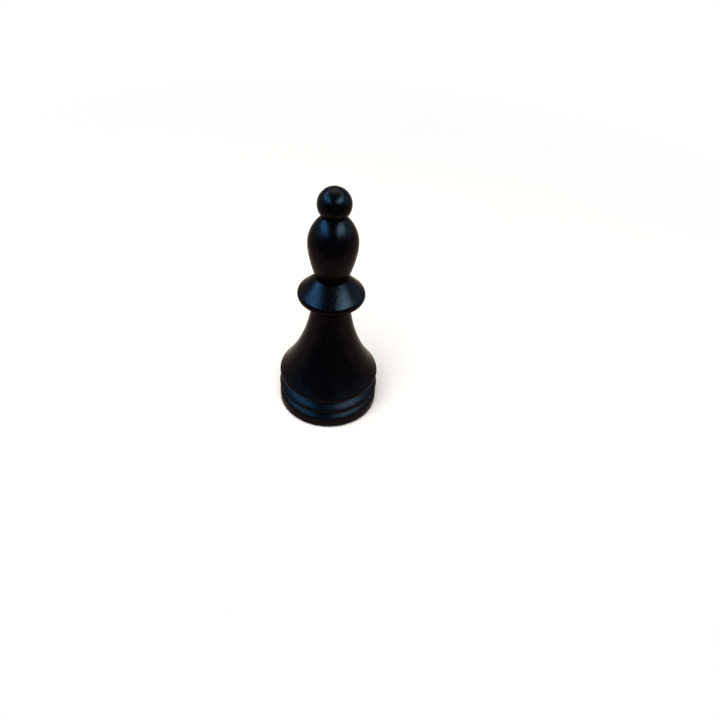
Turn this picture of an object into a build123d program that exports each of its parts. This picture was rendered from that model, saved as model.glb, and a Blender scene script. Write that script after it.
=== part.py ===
from build123d import *
import math
import os

os.makedirs("parts", exist_ok=True)

# A weighted chess bishop, turned in wood, with a ball finial.
# Millimetres, +Z up. The origin is the centre of the felt's underside.

# ---- Base: two turned rings and the shoulder, with a groove above each ring ----
foot_ring_diameter = 30.3
foot_ring_edge = 0.8  # rounding at the table edge
foot_ring_band = 2.1  # the upright stretch of its side
foot_ring_rounding = 1.0
foot_ring_crown = 5.0  # radius of the long arc above the rounding
upper_ring_diameter = 30.4
upper_ring_edge = 0.8
upper_ring_band = 0.05
upper_ring_rounding = 0.8
upper_ring_crown = 6.0
ring_lean = 37.0  # how far a ring's side leans back where its crown starts, degrees
lower_groove_depth = 1.85  # each groove is cut in from the narrower of the sides beside it
upper_groove_depth = 1.7
groove_roof_slope = 25.0  # rise of a groove's roof towards its lip, degrees
lower_groove_floor = 0.35  # height of each groove's upright floor
upper_groove_floor = 1.25
shoulder_diameter = 30.0
shoulder_edge = 0.6
shoulder_band = 0.25
shoulder_rim = 0.95  # rounding where the shoulder turns into the stem

# ---- Stem: one hollow curve from the shoulder to the collar ----
flare_angle = 37.0  # lean of the stem where it leaves the shoulder, degrees
stem_rise = 24.25  # from the shoulder's widest level to the stem's top
stem_top_diameter = 11.3

# ---- Collar: a double cone with a rounded rim ----
collar_diameter = 19.4
collar_height = 9.7
collar_rim = 1.6
collar_rim_rise = 4.2  # from the collar's underside to the middle of its rim

# ---- Head: a long drop shape, widest above its middle ----
head_foot_diameter = 9.1
head_foot_angle = 18.7  # lean of the side at the foot, degrees
head_foot_handle = 3.5  # how long the foot keeps that lean
head_diameter = 14.0
head_widest_rise = 11.0
head_height = 19.0
head_lower_handle = 3.2  # how long the side stays upright, below and above its widest
head_upper_handle = 3.6
head_neck_diameter = 6.0
head_neck_angle = 51.4
head_neck_handle = 2.6

# ---- Ball finial ----
ball_diameter = 9.25
ball_centre_rise = 3.45  # above the neck's flat, where the ball is cut

# ---- Glued joints ----
glue_gap = 0.05  # on each side of a tenon
tenon_diameter = 5.0
tenon_depth = 9.0  # the tenon's length inside the stem
peg_diameter = 2.6
peg_length = 6.0
socket_relief = 0.4  # air left at the end of a tenon or a peg
pin_chamfer = 0.4

# ---- Weight and felt under the base ----
felt_margin = 2.15  # how far the felt stays inside the foot ring's side
felt_thickness = 1.0
felt_recess_depth = 0.7
felt_clearance = 0.15
weight_diameter = 17.0
weight_height = 8.0
weight_chamfer = 0.6
weight_clearance = 0.1
weight_headroom = 0.2
plug_thickness = 1.6

wood_level = felt_thickness - felt_recess_depth
felt_diameter = foot_ring_diameter - 2 * felt_margin
lower_groove_radius = min(foot_ring_diameter, upper_ring_diameter) / 2 - lower_groove_depth
upper_groove_radius = min(upper_ring_diameter, shoulder_diameter) / 2 - upper_groove_depth


def turned(outline):
    """Turn a closed outline, drawn as (radius, height), about the Z axis."""
    return revolve(Plane.XZ * make_face(outline), Axis.Z)


def disc(diameter, bottom, top):
    """A plain round solid between two levels."""
    return extrude(Plane.XY.offset(bottom) * Circle(diameter / 2), top - bottom)


def pin_points(diameter, bottom, top):
    """The outline of a pin that points down, with a chamfer round its end."""
    radius = diameter / 2
    return [(0, bottom), (radius - pin_chamfer, bottom), (radius, bottom + pin_chamfer), (radius, top)]


def offset_by(point, length, angle):
    """The point reached by going up from a point, leaning outwards by an angle."""
    lean = math.radians(angle)
    return (point[0] + length * math.sin(lean), point[1] + length * math.cos(lean))


def tangent_angle(point, centre, radius, side):
    """Where a line from a point touches a circle: side is -1 under it, 1 over it."""
    across = centre[0] - point[0]
    up = centre[1] - point[1]
    direction = math.atan2(up, across)
    half_view = math.asin(radius / math.hypot(across, up))
    return math.degrees(direction + side * (half_view + math.pi / 2))


def ring_side(diameter, bottom, edge, band, rounding, crown, end_radius):
    """A ring's side: lower rounding, upright band, upper rounding and long crown arc."""
    radius = diameter / 2
    lean = math.radians(ring_lean)
    low = CenterArc((radius - edge, bottom + edge), edge, -90, 90)
    centre = (radius - rounding, bottom + edge + band)
    high = CenterArc(centre, rounding, 0, ring_lean)
    inset = crown - rounding
    crown_centre = (centre[0] - inset * math.cos(lean), centre[1] - inset * math.sin(lean))
    reach = math.degrees(math.acos((end_radius - crown_centre[0]) / crown))
    side = CenterArc(crown_centre, crown, ring_lean, reach - ring_lean)
    return [low, Line(low @ 1, high @ 0), high, side]


def groove_side(start, floor_height, lip_radius):
    """A groove's upright floor, then its sloping roof out to the lip above it."""
    floor_top = start.Y + floor_height
    roof_rise = (lip_radius - start.X) * math.tan(math.radians(groove_roof_slope))
    return Polyline(start, (start.X, floor_top), (lip_radius, floor_top + roof_rise))


# ---- The base, from the table up: each part starts where the one below it ends ----
foot_ring = ring_side(
    foot_ring_diameter,
    wood_level,
    foot_ring_edge,
    foot_ring_band,
    foot_ring_rounding,
    foot_ring_crown,
    lower_groove_radius,
)
upper_ring_lip_radius = upper_ring_diameter / 2 - upper_ring_edge
lower_groove = groove_side(foot_ring[-1] @ 1, lower_groove_floor, upper_ring_lip_radius)
upper_ring_bottom = (lower_groove @ 1).Y
upper_ring = ring_side(
    upper_ring_diameter,
    upper_ring_bottom,
    upper_ring_edge,
    upper_ring_band,
    upper_ring_rounding,
    upper_ring_crown,
    upper_groove_radius,
)
shoulder_lip_radius = shoulder_diameter / 2 - shoulder_edge
upper_groove = groove_side(upper_ring[-1] @ 1, upper_groove_floor, shoulder_lip_radius)
shoulder_bottom = (upper_groove @ 1).Y
shoulder_level = shoulder_bottom + shoulder_edge + shoulder_band

# ---- Levels above the base ----
stem_top = shoulder_level + stem_rise
collar_top = stem_top + collar_height
head_top = collar_top + head_height
ball_level = head_top + ball_centre_rise

# ---- Levels inside the base ----
plug_top = felt_thickness + plug_thickness
weight_top = plug_top + weight_height


# ---------------- Pedestal ----------------
def shoulder_and_stem():
    """The shoulder's rounded edge and the stem's hollow curve, up to the stem's flat top."""
    lean = math.radians(flare_angle)
    edge = CenterArc((shoulder_lip_radius, shoulder_bottom + shoulder_edge), shoulder_edge, -90, 90)
    rim_centre = (shoulder_diameter / 2 - shoulder_rim, shoulder_level)
    rim = CenterArc(rim_centre, shoulder_rim, 0, flare_angle)
    stem_end = (stem_top_diameter / 2, stem_top)
    stem = TangentArc(rim @ 1, stem_end, tangent=(-math.sin(lean), math.cos(lean)))
    return [edge, Line(edge @ 1, rim @ 0), rim, stem]


def make_pedestal():
    axis_line = Polyline((stem_top_diameter / 2, stem_top), (0, stem_top), (0, wood_level), foot_ring[0] @ 0)
    outline = [*foot_ring, lower_groove, *upper_ring, upper_groove, *shoulder_and_stem(), axis_line]
    felt_recess = disc(felt_diameter + 2 * felt_clearance, wood_level, felt_thickness)
    chamber_diameter = weight_diameter + 2 * weight_clearance
    chamber = disc(chamber_diameter, wood_level, weight_top + weight_headroom)
    mortise_bottom = stem_top - tenon_depth - socket_relief
    mortise = disc(tenon_diameter + 2 * glue_gap, mortise_bottom, stem_top)
    return turned(outline) - felt_recess - chamber - mortise


# ---------------- Collar ----------------
def make_collar():
    foot = (stem_top_diameter / 2, stem_top)
    shelf = (head_foot_diameter / 2, collar_top)
    rim_centre = (collar_diameter / 2 - collar_rim, stem_top + collar_rim_rise)
    low = tangent_angle(foot, rim_centre, collar_rim, -1)
    high = tangent_angle(shelf, rim_centre, collar_rim, 1)
    rim = CenterArc(rim_centre, collar_rim, low, high - low)
    outline = [
        Polyline((0, stem_top), foot, rim @ 0),
        rim,
        Polyline(rim @ 1, shelf, (0, collar_top), (0, stem_top)),
    ]
    bore = disc(tenon_diameter + 2 * glue_gap, stem_top, collar_top)
    return turned(outline) - bore


# ---------------- Head ----------------
def head_outline():
    """The tenon, then one curve from the foot to the widest level and one on to the neck."""
    tenon = pin_points(tenon_diameter, stem_top - tenon_depth, collar_top)
    foot = (head_foot_diameter / 2, collar_top)
    widest = (head_diameter / 2, collar_top + head_widest_rise)
    neck = (head_neck_diameter / 2, head_top)
    lower = Bezier(
        foot,
        offset_by(foot, head_foot_handle, head_foot_angle),
        offset_by(widest, -head_lower_handle, 0),
        widest,
    )
    upper = Bezier(
        widest,
        offset_by(widest, head_upper_handle, 0),
        offset_by(neck, -head_neck_handle, -head_neck_angle),
        neck,
    )
    return [
        Polyline(tenon, foot),
        lower,
        upper,
        Polyline(neck, (0, head_top), tenon[0]),
    ]


def make_head():
    socket_bottom = head_top - peg_length - socket_relief
    socket = disc(peg_diameter + 2 * glue_gap, socket_bottom, head_top)
    return turned(head_outline()) - socket


# ---------------- Ball finial ----------------
def make_ball_finial():
    radius = ball_diameter / 2
    drop = math.degrees(math.asin(ball_centre_rise / radius))
    ball = CenterArc((0, ball_level), radius, -drop, 90 + drop)
    peg = pin_points(peg_diameter, head_top - peg_length, head_top)
    return turned([Polyline(peg, ball @ 0), ball, Line(ball @ 1, peg[0])])


# ---------------- Weight, plug and felt ----------------
def make_base_weight():
    slug = disc(weight_diameter, plug_top, weight_top)
    rims = slug.edges().filter_by(GeomType.CIRCLE)
    return chamfer(rims, weight_chamfer)


def make_chamber_plug():
    return disc(weight_diameter, felt_thickness, plug_top)


def make_felt_pad():
    return disc(felt_diameter, 0, felt_thickness)


pieces = {
    "pedestal": make_pedestal(),
    "collar": make_collar(),
    "head": make_head(),
    "ball_finial": make_ball_finial(),
    "base_weight": make_base_weight(),
    "chamber_plug": make_chamber_plug(),
    "felt_pad": make_felt_pad(),
}

for name, piece in pieces.items():
    export_step(piece, f"parts/{name}.step")
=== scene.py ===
import math

import bpy
from mathutils import Matrix, Vector


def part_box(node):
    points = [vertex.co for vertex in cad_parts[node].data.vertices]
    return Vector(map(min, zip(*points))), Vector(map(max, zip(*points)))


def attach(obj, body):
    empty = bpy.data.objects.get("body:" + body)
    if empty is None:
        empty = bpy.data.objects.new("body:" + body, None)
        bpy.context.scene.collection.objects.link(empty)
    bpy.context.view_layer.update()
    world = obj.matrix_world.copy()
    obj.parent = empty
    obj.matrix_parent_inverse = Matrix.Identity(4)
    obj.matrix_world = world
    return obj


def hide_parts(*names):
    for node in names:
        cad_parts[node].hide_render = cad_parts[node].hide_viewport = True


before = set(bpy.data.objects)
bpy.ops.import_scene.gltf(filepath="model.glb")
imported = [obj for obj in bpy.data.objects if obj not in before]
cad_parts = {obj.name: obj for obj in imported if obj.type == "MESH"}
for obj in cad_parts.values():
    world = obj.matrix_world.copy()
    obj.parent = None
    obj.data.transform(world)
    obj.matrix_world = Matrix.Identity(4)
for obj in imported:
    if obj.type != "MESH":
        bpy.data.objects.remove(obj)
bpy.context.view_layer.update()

# A turned wooden chess bishop, stained black and lacquered. Metres, +Z up.

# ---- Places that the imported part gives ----
wood_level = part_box("pedestal")[0].z
felt_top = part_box("felt_pad")[1].z
felt_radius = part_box("felt_pad")[1].x
weight_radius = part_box("base_weight")[1].x
weight_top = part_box("base_weight")[1].z
stem_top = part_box("collar")[0].z
collar_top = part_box("collar")[1].z
collar_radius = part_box("collar")[1].x
tenon_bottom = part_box("head")[0].z
head_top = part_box("head")[1].z
head_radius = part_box("head")[1].x
peg_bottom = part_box("ball_finial")[0].z
ball_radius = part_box("ball_finial")[1].x
ball_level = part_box("ball_finial")[1].z - ball_radius

# ---- Joints, and the hollows in the base ----
glue_gap = 0.00005
end_relief = 0.0004  # air past the end of a tenon or a peg
tenon_radius = 0.0025
peg_radius = 0.0013
pin_chamfer = 0.0004
felt_clearance = 0.00015
weight_clearance = 0.0001
weight_headroom = 0.0002

# ---- The two rings of the base and the groove over each ----
ring_lean = 37  # degrees that a ring's side leans back where its crown starts
groove_radius = 0.0133
groove_roof_slope = math.tan(math.radians(25))
foot_ring = {
    "radius": 0.01515,
    "edge": 0.0008,  # radius of the lower rounding
    "band": 0.0021,  # height of the upright part
    "rounding": 0.001,
    "crown": 0.005,  # radius of the long upper curve
    "groove": 0.00035,  # height of the groove's inner wall
}
upper_ring = {
    "radius": 0.0152,
    "edge": 0.0008,
    "band": 0.00005,
    "rounding": 0.0008,
    "crown": 0.006,
    "groove": 0.00125,
}

# ---- Shoulder, stem and collar ----
shoulder_radius = 0.015
shoulder_edge = 0.0006
shoulder_band = 0.00025
shoulder_rim = 0.00095
flare_angle = 37  # degrees that the stem leans back where it leaves the shoulder
stem_top_radius = 0.00565
collar_rim = 0.0016
collar_rim_rise = 0.0042

# ---- Head, as two curves that meet where it is widest ----
head_foot_radius = 0.00455
head_foot_lean = (0.0035, 18.7)  # length and lean in degrees of the first curve's first handle
head_widest_rise = 0.011
head_lower_handle = 0.0032
head_upper_handle = 0.0036
head_neck_radius = 0.0030
head_neck_lean = (0.0026, 51.4)

# ---- Felt ----
felt_cut_edge = 0.00025
felt_nap = 0.00006  # how deep its face is pressed
felt_nap_width = 0.003

# ---- How finely the lathe cuts ----
turns = 192  # facets round a turned piece
widest_step = 7  # degrees of an arc
longest_step = 0.0004
curve_steps = 26
seam_merge = 0.000002
sharp_corner = 16  # degrees from which a corner is softened
corner_softening = 0.00002
smooth_below = 30  # degrees

# ---- Studio ----
floor_size = 8
floor_front = 0.075  # how far the floor reaches towards the eye
floor_fade_start = 0.10  # from here out the floor turns plain white
floor_fade_end = 0.30
backdrop_slope = 0.267  # how steeply its white rises towards the back
warm_white = (0.96, 0.81, 0.70, 1)
lamp_distance = 1
piece_middle = 0.04
fill_strength = 0.25

# Name, azimuth (0 is the front, 90 the right), elevation, width, height, colour, radiance.
lacquer_lamps = (
    ("window_left", -72, 41, 1.55, 0.60, (0.085, 0.42, 1.0), 50),
    ("window_back", -118, 42, 0.8, 0.45, (0.085, 0.42, 1.0), 42),
    ("window_right", 54, 45, 1.2, 0.62, (0.27, 0.64, 1.0), 55),
    ("window_side", 98, 50, 1.1, 0.55, (0.34, 0.70, 1.0), 12.5),
    ("ceiling", 180, 60, 1.9, 1.1, (0.60, 0.80, 1.0), 9),
    ("wall_left", -95, 20, 1.8, 0.7, (0.30, 0.58, 1.0), 3.2),
    ("wall_right", 100, 22, 1.8, 0.7, (0.24, 0.60, 1.0), 5.0),
)
floor_lamp = ("floor_light", -20, 65, 1.6, 1.6, (1.0, 0.96, 0.92), 5.6)


# ---------------- Turning ----------------
class Outline:
    """Half of a turned piece's section, drawn in edit mode with one vertex at its tip."""

    def __init__(self, name, radius, level):
        bpy.ops.object.select_all(action="DESELECT")
        bpy.ops.mesh.primitive_plane_add(size=0.001, location=(0, 0, 0))
        self.piece = bpy.context.object
        self.piece.name = self.piece.data.name = name
        bpy.ops.object.mode_set(mode="EDIT")
        bpy.ops.mesh.select_mode(type="VERT")
        bpy.ops.mesh.select_all(action="SELECT")
        bpy.ops.mesh.merge(type="CENTER")
        bpy.ops.transform.translate(value=(radius, 0, level))
        self.tip = Vector((radius, 0, level))

    def line(self, *points):
        """Straight cuts to each (radius, level) in turn."""
        for radius, level in points:
            end = Vector((radius, 0, level))
            bpy.ops.mesh.extrude_vertices_move(TRANSFORM_OT_translate={"value": end - self.tip})
            self.tip = end

    def arc(self, centre, degrees):
        """A round cut about a (radius, level), anticlockwise when degrees is positive."""
        middle = Vector((centre[0], 0, centre[1]))
        reach = self.tip - middle
        length = reach.length * math.radians(abs(degrees))
        steps = max(3, math.ceil(abs(degrees) / widest_step), math.ceil(length / longest_step))
        turn = math.radians(degrees)
        bpy.ops.mesh.spin(steps=steps, angle=turn, center=middle, axis=(0, 1, 0))
        self.tip = middle + Matrix.Rotation(-turn, 3, "Y") @ reach

    def curve(self, handle, last_handle, end):
        """A smooth cut to end along a cubic curve with these two handles."""
        points = [Vector((p[0], 0, p[1])) for p in (handle, last_handle, end)]
        points.insert(0, self.tip.copy())
        for step in range(1, curve_steps + 1):
            t = step / curve_steps
            weights = ((1 - t) ** 3, 3 * t * (1 - t) ** 2, 3 * t * t * (1 - t), t**3)
            spot = sum((w * p for w, p in zip(weights, points)), Vector())
            self.line((spot.x, spot.z))

    def turn(self):
        """Spins the outline round the axis, closes it and softens its sharp corners."""
        bpy.ops.mesh.select_all(action="SELECT")
        bpy.ops.mesh.spin(steps=turns, angle=2 * math.pi, center=(0, 0, 0), axis=(0, 0, 1))
        bpy.ops.mesh.select_all(action="SELECT")
        bpy.ops.mesh.remove_doubles(threshold=seam_merge)
        bpy.ops.mesh.normals_make_consistent(inside=False)
        bpy.ops.object.mode_set(mode="OBJECT")
        corners = self.piece.modifiers.new("softened_corners", "BEVEL")
        corners.limit_method = "ANGLE"
        corners.angle_limit = math.radians(sharp_corner)
        corners.width = corner_softening
        corners.segments = 2
        bpy.ops.object.modifier_apply(modifier=corners.name)
        bpy.ops.object.shade_smooth_by_angle(angle=math.radians(smooth_below))
        return self.piece


def leaning(point, length, degrees):
    """The point that far from another, upwards with a lean outwards."""
    lean = math.radians(degrees)
    return (point[0] + length * math.sin(lean), point[1] + length * math.cos(lean))


def draw_ring(outline, ring, bottom, lip_radius):
    """A base ring's side and the groove over it, up to the lip at that radius; gives its level."""
    outline.arc((ring["radius"] - ring["edge"], bottom + ring["edge"]), 90)
    centre = (ring["radius"] - ring["rounding"], bottom + ring["edge"] + ring["band"])
    outline.line((ring["radius"], centre[1]))
    outline.arc(centre, ring_lean)
    lean = math.radians(ring_lean)
    inset = ring["crown"] - ring["rounding"]
    middle = (centre[0] - inset * math.cos(lean), centre[1] - inset * math.sin(lean))
    reach = math.degrees(math.acos((groove_radius - middle[0]) / ring["crown"]))
    outline.arc(middle, reach - ring_lean)
    floor_top = outline.tip.z + ring["groove"]
    lip_level = floor_top + (lip_radius - groove_radius) * groove_roof_slope
    outline.line((groove_radius, floor_top), (lip_radius, lip_level))
    return lip_level


def turn_base_and_stem():
    """The one block of wood from the table to the collar, hollow for felt, weight and tenon."""
    chamber_top = weight_top + weight_headroom
    chamber_radius = weight_radius + weight_clearance
    recess_radius = felt_radius + felt_clearance
    outline = Outline("turned_base_and_stem", 0, chamber_top)
    outline.line(
        (chamber_radius, chamber_top),
        (chamber_radius, felt_top),
        (recess_radius, felt_top),
        (recess_radius, wood_level),
        (foot_ring["radius"] - foot_ring["edge"], wood_level),
    )
    lip_level = draw_ring(outline, foot_ring, wood_level, upper_ring["radius"] - upper_ring["edge"])
    lip_level = draw_ring(outline, upper_ring, lip_level, shoulder_radius - shoulder_edge)
    outline.arc((shoulder_radius - shoulder_edge, lip_level + shoulder_edge), 90)
    shoulder_level = lip_level + shoulder_edge + shoulder_band
    outline.line((shoulder_radius, shoulder_level))
    outline.arc((shoulder_radius - shoulder_rim, shoulder_level), flare_angle)
    draw_hollow(outline, flare_angle, (stem_top_radius, stem_top))
    mortise_radius = tenon_radius + glue_gap
    mortise_bottom = tenon_bottom - end_relief
    outline.line((mortise_radius, stem_top), (mortise_radius, mortise_bottom), (0, mortise_bottom))
    return outline.turn()


def draw_hollow(outline, lean_back, end):
    """One arc to end that leaves the tip leaning back by that many degrees from upright."""
    lean = math.radians(lean_back)
    heading = Vector((-math.sin(lean), 0, math.cos(lean)))
    outwards = Vector((heading.z, 0, -heading.x))
    chord = Vector((end[0], 0, end[1])) - outline.tip
    radius = chord.length_squared / (2 * chord.dot(outwards))
    middle = outline.tip + outwards * radius
    start, stop = outline.tip - middle, outline.tip + chord - middle
    outline.arc((middle.x, middle.z), -math.degrees(start.angle(stop)))


def turn_collar():
    """A double cone with a rounded rim, bored for the head's tenon."""
    bore = tenon_radius + glue_gap
    rim = (collar_radius - collar_rim, stem_top + collar_rim_rise)
    foot = (stem_top_radius, stem_top)
    shelf = (head_foot_radius, collar_top)
    low = touch_angle(foot, rim, collar_rim, -1)
    high = touch_angle(shelf, rim, collar_rim, 1)
    outline = Outline("turned_collar", bore, stem_top)
    outline.line(foot, (rim[0] + collar_rim * math.cos(low), rim[1] + collar_rim * math.sin(low)))
    outline.arc(rim, math.degrees(high - low))
    outline.line(shelf, (bore, collar_top), (bore, stem_top))
    return outline.turn()


def touch_angle(point, centre, radius, side):
    """Where a line from a point touches a circle: side is -1 under it, 1 over it."""
    across, up = centre[0] - point[0], centre[1] - point[1]
    half_view = math.asin(radius / math.hypot(across, up))
    return math.atan2(up, across) + side * (half_view + math.pi / 2)


def draw_pin(name, radius, bottom, top):
    """Starts an outline with a chamfered pin that points down."""
    outline = Outline(name, 0, bottom)
    outline.line((radius - pin_chamfer, bottom), (radius, bottom + pin_chamfer), (radius, top))
    return outline


def turn_head():
    """The long drop on its tenon, with a socket for the ball's peg."""
    foot = (head_foot_radius, collar_top)
    widest = (head_radius, collar_top + head_widest_rise)
    neck = (head_neck_radius, head_top)
    outline = draw_pin("turned_head", tenon_radius, tenon_bottom, collar_top)
    outline.line(foot)
    outline.curve(leaning(foot, *head_foot_lean), leaning(widest, -head_lower_handle, 0), widest)
    neck_handle = leaning(neck, -head_neck_lean[0], -head_neck_lean[1])
    outline.curve(leaning(widest, head_upper_handle, 0), neck_handle, neck)
    socket_radius = peg_radius + glue_gap
    socket_bottom = peg_bottom - end_relief
    outline.line((socket_radius, head_top), (socket_radius, socket_bottom), (0, socket_bottom))
    return outline.turn()


def turn_ball():
    """The ball finial, cut flat under it where it stands on the head, with its peg."""
    outline = draw_pin("turned_ball_finial", peg_radius, peg_bottom, head_top)
    drop = math.asin((ball_level - head_top) / ball_radius)
    outline.line((ball_radius * math.cos(drop), head_top))
    outline.arc((0, ball_level), 90 + math.degrees(drop))
    return outline.turn()


def cut_felt():
    """The felt disc, with a soft cut edge and a face pressed a little uneven."""
    flat_radius = felt_radius - felt_cut_edge
    face_rings = 12
    outline = Outline("felt_disc", 0, 0)
    for ring in range(1, face_rings + 1):
        outline.line((flat_radius * ring / face_rings, 0))
    outline.arc((flat_radius, felt_cut_edge), 90)
    outline.line((felt_radius, felt_top - felt_cut_edge))
    outline.arc((flat_radius, felt_top - felt_cut_edge), 90)
    outline.line((0, felt_top))
    disc = outline.turn()
    nap = bpy.data.textures.new("pressed_nap", "CLOUDS")
    nap.noise_scale = felt_nap_width
    pressed = disc.modifiers.new("pressed", "DISPLACE")
    pressed.texture = nap
    pressed.strength = felt_nap
    pressed.mid_level = 1
    bpy.ops.object.modifier_apply(modifier=pressed.name)
    return disc


# ---------------- Finishes ----------------
class Nodes:
    """A node tree whose nodes are added one at a time."""

    def __init__(self, tree):
        self.tree = tree

    def add(self, kind, settings=None, **inputs):
        node = self.tree.nodes.new("ShaderNode" + kind)
        for name, value in (settings or {}).items():
            setattr(node, name, value)
        for name, value in inputs.items():
            self.set(node.inputs[name.replace("_", " ")], value)
        return node

    def set(self, socket, value):
        """Links another node's output to a socket, or gives the socket a value."""
        if isinstance(value, bpy.types.NodeSocket):
            self.tree.links.new(value, socket)
        else:
            socket.default_value = value

    def place(self, scale=(1, 1, 1), turn=(0, 0, 0)):
        """The piece's own coordinates, scaled and turned."""
        place = self.add("TexCoord").outputs["Object"]
        return self.add("Mapping", Vector=place, Scale=scale, Rotation=turn).outputs["Vector"]

    def noise(self, place, scale, detail, roughness):
        node = self.add("TexNoise", Vector=place, Scale=scale, Detail=detail, Roughness=roughness)
        return node.outputs["Fac"]

    def cells(self, place, scale, feature="F1"):
        node = self.add("TexVoronoi", {"feature": feature}, Vector=place, Scale=scale)
        return node.outputs["Distance"]

    def spread(self, value, low, high, to_low=0.0, to_high=1.0):
        """A value between low and high, spread over another range."""
        node = self.add("MapRange")
        for socket, number in zip(node.inputs, (value, low, high, to_low, to_high)):
            self.set(socket, number)
        return node.outputs["Result"]

    def blend(self, amount, first, second):
        node = self.add("Mix", {"data_type": "RGBA"})
        for socket, value in ((0, amount), (6, first), (7, second)):
            self.set(node.inputs[socket], value)
        return node.outputs[2]

    def math(self, operation, first, second):
        node = self.add("Math", {"operation": operation})
        for socket, value in zip(node.inputs, (first, second)):
            self.set(socket, value)
        return node.outputs["Value"]

    def length(self, vector):
        return self.add("VectorMath", {"operation": "LENGTH"}, Vector=vector).outputs["Value"]

    def bump(self, height, distance, strength, normal=None):
        node = self.add("Bump", Height=height, Distance=distance, Strength=strength)
        if normal:
            self.set(node.inputs["Normal"], normal)
        return node.outputs["Normal"]

    def mix_shaders(self, amount, first, second):
        node = self.add("MixShader")
        for socket, value in zip(node.inputs, (amount, first, second)):
            self.set(socket, value)
        return node.outputs["Shader"]

    def background_rays(self):
        """1 for rays that show a background: to the eye, in a reflection or through glass."""
        rays = self.add("LightPath").outputs
        shown = self.math("MAXIMUM", rays["Is Camera Ray"], rays["Is Glossy Ray"])
        return self.math("MAXIMUM", shown, rays["Is Transmission Ray"])

    def warm_when_mirrored(self, colour=(1, 1, 1, 1)):
        """A pale colour to the eye, and a little warmer in the lacquer."""
        seen = self.add("LightPath").outputs["Is Camera Ray"]
        return self.blend(seen, warm_white, colour)


class Finish(Nodes):
    """A material, from its plain shader."""

    def __init__(self, name):
        self.material = bpy.data.materials.new(name)
        self.material.use_nodes = True
        super().__init__(self.material.node_tree)
        self.shader = self.tree.nodes["Principled BSDF"]

    def shade(self, **inputs):
        """Sets the shader's own sockets."""
        for name, value in inputs.items():
            self.set(self.shader.inputs[name.replace("_", " ")], value)


def lacquered_wood():
    """Close-grained wood, stained black through and sprayed with a thin satin lacquer."""
    f = Finish("black_lacquered_wood")
    fibres = f.noise(f.place((1, 1, 0.07), (0.03, 0.02, 0)), 2600, 4, 0.6)
    figure = f.noise(f.place((1, 1, 0.12), (0.04, -0.05, 0)), 420, 3, 0.55)
    pores = f.spread(f.cells(f.place((1, 1, 0.14)), 1500), 0.1, 0.28)
    tool_marks = f.noise(f.place((0.02, 0.02, 1)), 3400, 2, 0.5)
    ripple = f.noise(f.place((1, 1, 0.7)), 900, 3, 0.6)
    handling = f.noise(f.place(), 150, 4, 0.6)
    level = f.add("SeparateXYZ", Vector=f.place()).outputs["Z"]
    handled_base = f.spread(level, 0.013, 0.009)
    foot = f.spread(level, 0.003, 0.001)
    # Lighter warm brown over the bottom millimetres of the foot, mottled: partly rubbed wear,
    # partly a painted warm reflection of the floor.
    foot_wear_and_painted_reflection = f.math("MULTIPLY", foot, f.spread(handling, 0.4, 0.62, 0.1, 1))

    stain = f.blend(figure, (0.0006, 0.0002, 0.0002, 1), (0.0016, 0.0007, 0.0006, 1))
    stain = f.blend(f.spread(fibres, 0.35, 0.7, 0, 0.6), stain, (0.0004, 0.0002, 0.0002, 1))
    # The foot's bottom edge is painted a lighter warm brown: rubbed wear and a painted reflection
    # together.
    colour = f.blend(foot_wear_and_painted_reflection, stain, (0.004, 0.0026, 0.0022, 1))

    dullness = f.spread(fibres, 0.2, 0.8, 0.16, 0.22)
    for more in (
        f.spread(handling, 0.3, 0.7, -0.02, 0.04),
        f.math("MULTIPLY", handled_base, 0.12),
        f.spread(ripple, 0.35, 0.65, -0.04, 0.08),
        f.math("MULTIPLY", foot_wear_and_painted_reflection, 0.08),
    ):
        dullness = f.math("ADD", dullness, more)

    normal = f.bump(ripple, 0.00005, 1.0)
    normal = f.bump(tool_marks, 0.000006, 0.5, normal)
    normal = f.bump(fibres, 0.00001, 0.5, normal)
    normal = f.bump(pores, 0.000015, 0.5, normal)
    f.shade(Base_Color=colour, Roughness=dullness, Normal=normal)
    f.shade(IOR=1.07, Specular_IOR_Level=0.5, Specular_Tint=(3.1, 2.2, 2.0, 1))
    return f.material


def pressed_felt():
    """Thin dark green wool felt, matted from fibres that lie every way."""
    f = Finish("felt")
    wool = f.noise(f.place(), 2200, 6, 0.7)
    strands = f.cells(f.place((1, 0.35, 1), (0, 0, 0.7)), 1700, "DISTANCE_TO_EDGE")
    crossing = f.cells(f.place((0.35, 1, 1), (0, 0, 0.4)), 1500, "DISTANCE_TO_EDGE")
    mat = f.math("ADD", strands, crossing)
    patches = f.spread(f.noise(f.place(), 260, 3, 0.5), 0.35, 0.7, 0, 0.5)
    green = f.blend(wool, (0.012, 0.036, 0.020, 1), (0.040, 0.085, 0.052, 1))
    normal = f.bump(wool, 0.00015, 0.8, f.bump(mat, 0.00012, 0.8))
    f.shade(Base_Color=f.blend(patches, green, (0.020, 0.045, 0.030, 1)), Normal=normal)
    f.shade(Roughness=f.spread(wool, 0, 1, 0.86, 1), Specular_IOR_Level=0.2)
    f.shade(Sheen_Weight=0.35, Sheen_Roughness=0.5)
    return f.material


def turned_steel():
    """The plain turned slug inside the base."""
    f = Finish("weight_steel")
    marks = f.noise(f.place((0.03, 0.03, 1)), 5200, 3, 0.6)
    stains = f.noise(f.place(), 320, 4, 0.6)
    f.shade(Base_Color=f.blend(stains, (0.33, 0.33, 0.34, 1), (0.50, 0.50, 0.51, 1)))
    f.shade(Roughness=f.spread(stains, 0.3, 0.7, 0.32, 0.5), Metallic=1)
    f.shade(Normal=f.bump(marks, 0.00003, 0.6))
    return f.material


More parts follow.
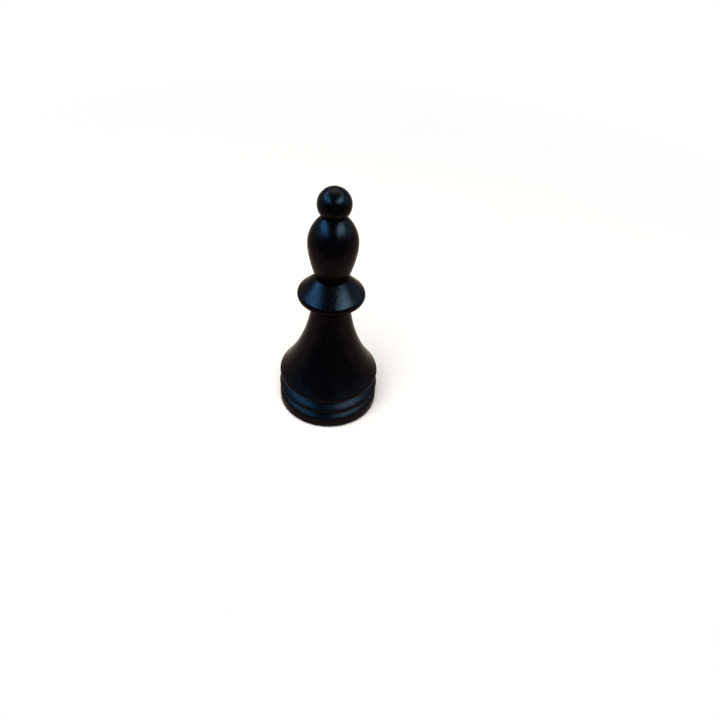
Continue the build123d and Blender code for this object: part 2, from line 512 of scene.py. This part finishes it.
def bare_wood():
    """The unstained disc that closes the weight's chamber."""
    f = Finish("bare_wood")
    grain = f.noise(f.place((1, 0.06, 1), (0, 0, 0.2)), 1300, 5, 0.6)
    bands = {"wave_type": "BANDS", "bands_direction": "X"}
    place = f.place((1, 0.2, 1))
    rings = f.add("TexWave", bands, Vector=place, Scale=190, Distortion=3, Detail=3)
    tone = f.blend(rings.outputs["Fac"], (0.50, 0.35, 0.20, 1), (0.66, 0.50, 0.32, 1))
    dark_grain = f.spread(grain, 0.3, 0.7, 0, 0.5)
    f.shade(Base_Color=f.blend(dark_grain, tone, (0.42, 0.28, 0.15, 1)))
    f.shade(Roughness=f.spread(grain, 0.2, 0.8, 0.55, 0.75))
    f.shade(Normal=f.bump(grain, 0.00005, 0.7))
    return f.material


def dress(piece, material):
    """Gives a piece one finish all over."""
    piece.data.materials.clear()
    piece.data.materials.append(material)


# ---------------- The bishop ----------------
black = lacquered_wood()
for piece, node in (
    (turn_base_and_stem(), "pedestal"),
    (turn_collar(), "collar"),
    (turn_head(), "head"),
    (turn_ball(), "ball_finial"),
):
    dress(piece, black)
    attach(piece, "root")
    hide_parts(node)

felt_disc = cut_felt()
dress(felt_disc, pressed_felt())
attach(felt_disc, "root")
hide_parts("felt_pad")

for node, material in (("base_weight", turned_steel()), ("chamber_plug", bare_wood())):
    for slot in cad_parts[node].material_slots:
        slot.material = material


# ---------------- Studio ----------------
def lay_floor():
    """A wide pale floor that keeps the shadow near the piece and goes on to plain white."""
    bpy.ops.object.select_all(action="DESELECT")
    bpy.ops.mesh.primitive_plane_add(size=floor_size, location=(0, 0, 0))
    bpy.ops.object.mode_set(mode="EDIT")
    bpy.ops.transform.translate(value=(0, floor_size / 2 - floor_front, 0))
    bpy.ops.object.mode_set(mode="OBJECT")
    floor = bpy.context.object
    floor.name = "floor"
    f = Finish("pale_floor")
    place = f.add("TexCoord").outputs["Object"]
    mottle = f.noise(place, 30, 2, 0.5)
    paper = f.blend(mottle, (0.90, 0.90, 0.89, 1), (0.93, 0.93, 0.92, 1))
    f.shade(Base_Color=f.warm_when_mirrored(paper), Roughness=0.9, Specular_IOR_Level=0.1)
    white = f.add("Emission", Color=f.warm_when_mirrored(), Strength=1)
    far = f.spread(f.length(place), floor_fade_start, floor_fade_end)
    amount = f.math("MULTIPLY", far, f.background_rays())
    surface = f.mix_shaders(amount, f.shader.outputs["BSDF"], white.outputs["Emission"])
    f.set(f.tree.nodes["Material Output"].inputs["Surface"], surface)
    dress(floor, f.material)
    return floor


def hang_backdrop():
    """White to the eye. In a reflection, white low down behind the piece and dim elsewhere."""
    world = bpy.data.worlds.new("studio")
    bpy.context.scene.world = world
    world.use_nodes = True
    f = Nodes(world.node_tree)
    fill = f.tree.nodes["Background"]
    f.set(fill.inputs["Color"], (1, 1, 1, 1))
    f.set(fill.inputs["Strength"], fill_strength)
    heading = f.add("SeparateXYZ", Vector=f.add("TexCoord").outputs["Generated"]).outputs
    rise = f.math("SUBTRACT", heading["Z"], f.math("MULTIPLY", heading["Y"], backdrop_slope))
    low_down = f.spread(rise, 0.03, 0.12, 1, 0.03)
    behind = f.spread(heading["Y"], -0.6, -0.2, 0.1, 1)
    mirrored = f.math("MULTIPLY", low_down, behind)
    seen = f.add("LightPath").outputs["Is Camera Ray"]
    strength = f.math("MAXIMUM", seen, mirrored)
    white = f.add("Background", Color=f.warm_when_mirrored(), Strength=strength)
    surface = f.mix_shaders(f.background_rays(), fill.outputs[0], white.outputs[0])
    f.set(f.tree.nodes["World Output"].inputs["Surface"], surface)


def lit_together(name, things):
    """A collection that only its own lamps light."""
    lit = bpy.data.collections.new(name)
    for thing in things:
        lit.objects.link(thing)
    return lit


def hang_lamp(lit, name, azimuth, elevation, width, height, colour, radiance):
    """A soft panel that faces the piece, brightest in its middle, for the things in lit."""
    a, e = math.radians(azimuth), math.radians(elevation)
    away = Vector((math.sin(a) * math.cos(e), -math.cos(a) * math.cos(e), math.sin(e)))
    place = lamp_distance * away + Vector((0, 0, piece_middle))
    bpy.ops.object.light_add(type="AREA", location=place)
    lamp = bpy.context.object
    lamp.name = name
    lamp.rotation_euler = away.to_track_quat("Z", "Y").to_euler()
    lamp.data.shape = "RECTANGLE"
    lamp.data.size, lamp.data.size_y = width, height
    lamp.data.color = colour
    lamp.data.energy = radiance * math.pi * width * height
    lamp.visible_camera = False
    lamp.light_linking.receiver_collection = lit
    lamp.data.use_nodes = True
    f = Nodes(lamp.data.node_tree)
    across = f.add("NewGeometry").outputs["Parametric"]
    off_centre = f.add("VectorMath", {"operation": "MULTIPLY_ADD"}, Vector=across)
    f.set(off_centre.inputs[1], (1, 1, 0))
    f.set(off_centre.inputs[2], (-0.5, -0.5, 0))
    distance = f.length(off_centre.outputs["Vector"])
    f.set(f.tree.nodes["Emission"].inputs["Strength"], f.spread(distance, 0.15, 0.5, 1, 0))


def set_camera():
    """The eye stands in front of the piece, above it and close to it."""
    aim = Vector((0, 0, 0.0353))
    distance, elevation, roll = 0.19, math.radians(37.14), math.radians(2.2)
    left, above = math.tan(math.radians(2.54)), math.tan(math.radians(4.68))
    ahead = Vector((0, math.cos(elevation), -math.sin(elevation)))
    right = Vector((1, 0, 0))
    up = right.cross(ahead)
    leaned_right = math.cos(roll) * right + math.sin(roll) * up
    leaned_up = math.cos(roll) * up - math.sin(roll) * right
    straight = Matrix((leaned_right, leaned_up, -ahead)).transposed()
    aside = Vector((0, 0, -1)).rotation_difference(Vector((-left, above, -1)).normalized())
    bpy.ops.object.camera_add(location=aim - distance * ahead)
    camera = bpy.context.object
    camera.name = "camera"
    camera.rotation_euler = (straight @ aside.to_matrix().transposed()).to_euler()
    camera.data.lens = 32.77
    camera.data.sensor_width = 36
    camera.data.clip_start, camera.data.clip_end = 0.01, 20
    bpy.context.scene.camera = camera


pieces = [thing for thing in bpy.context.scene.objects if thing.type == "MESH"]
lit_piece = lit_together("lit_piece", pieces)
lit_floor = lit_together("lit_floor", [lay_floor()])
hang_backdrop()
for lamp in lacquer_lamps:
    hang_lamp(lit_piece, *lamp)
hang_lamp(lit_floor, *floor_lamp)
set_camera()
bpy.context.scene.view_settings.view_transform = "Standard"
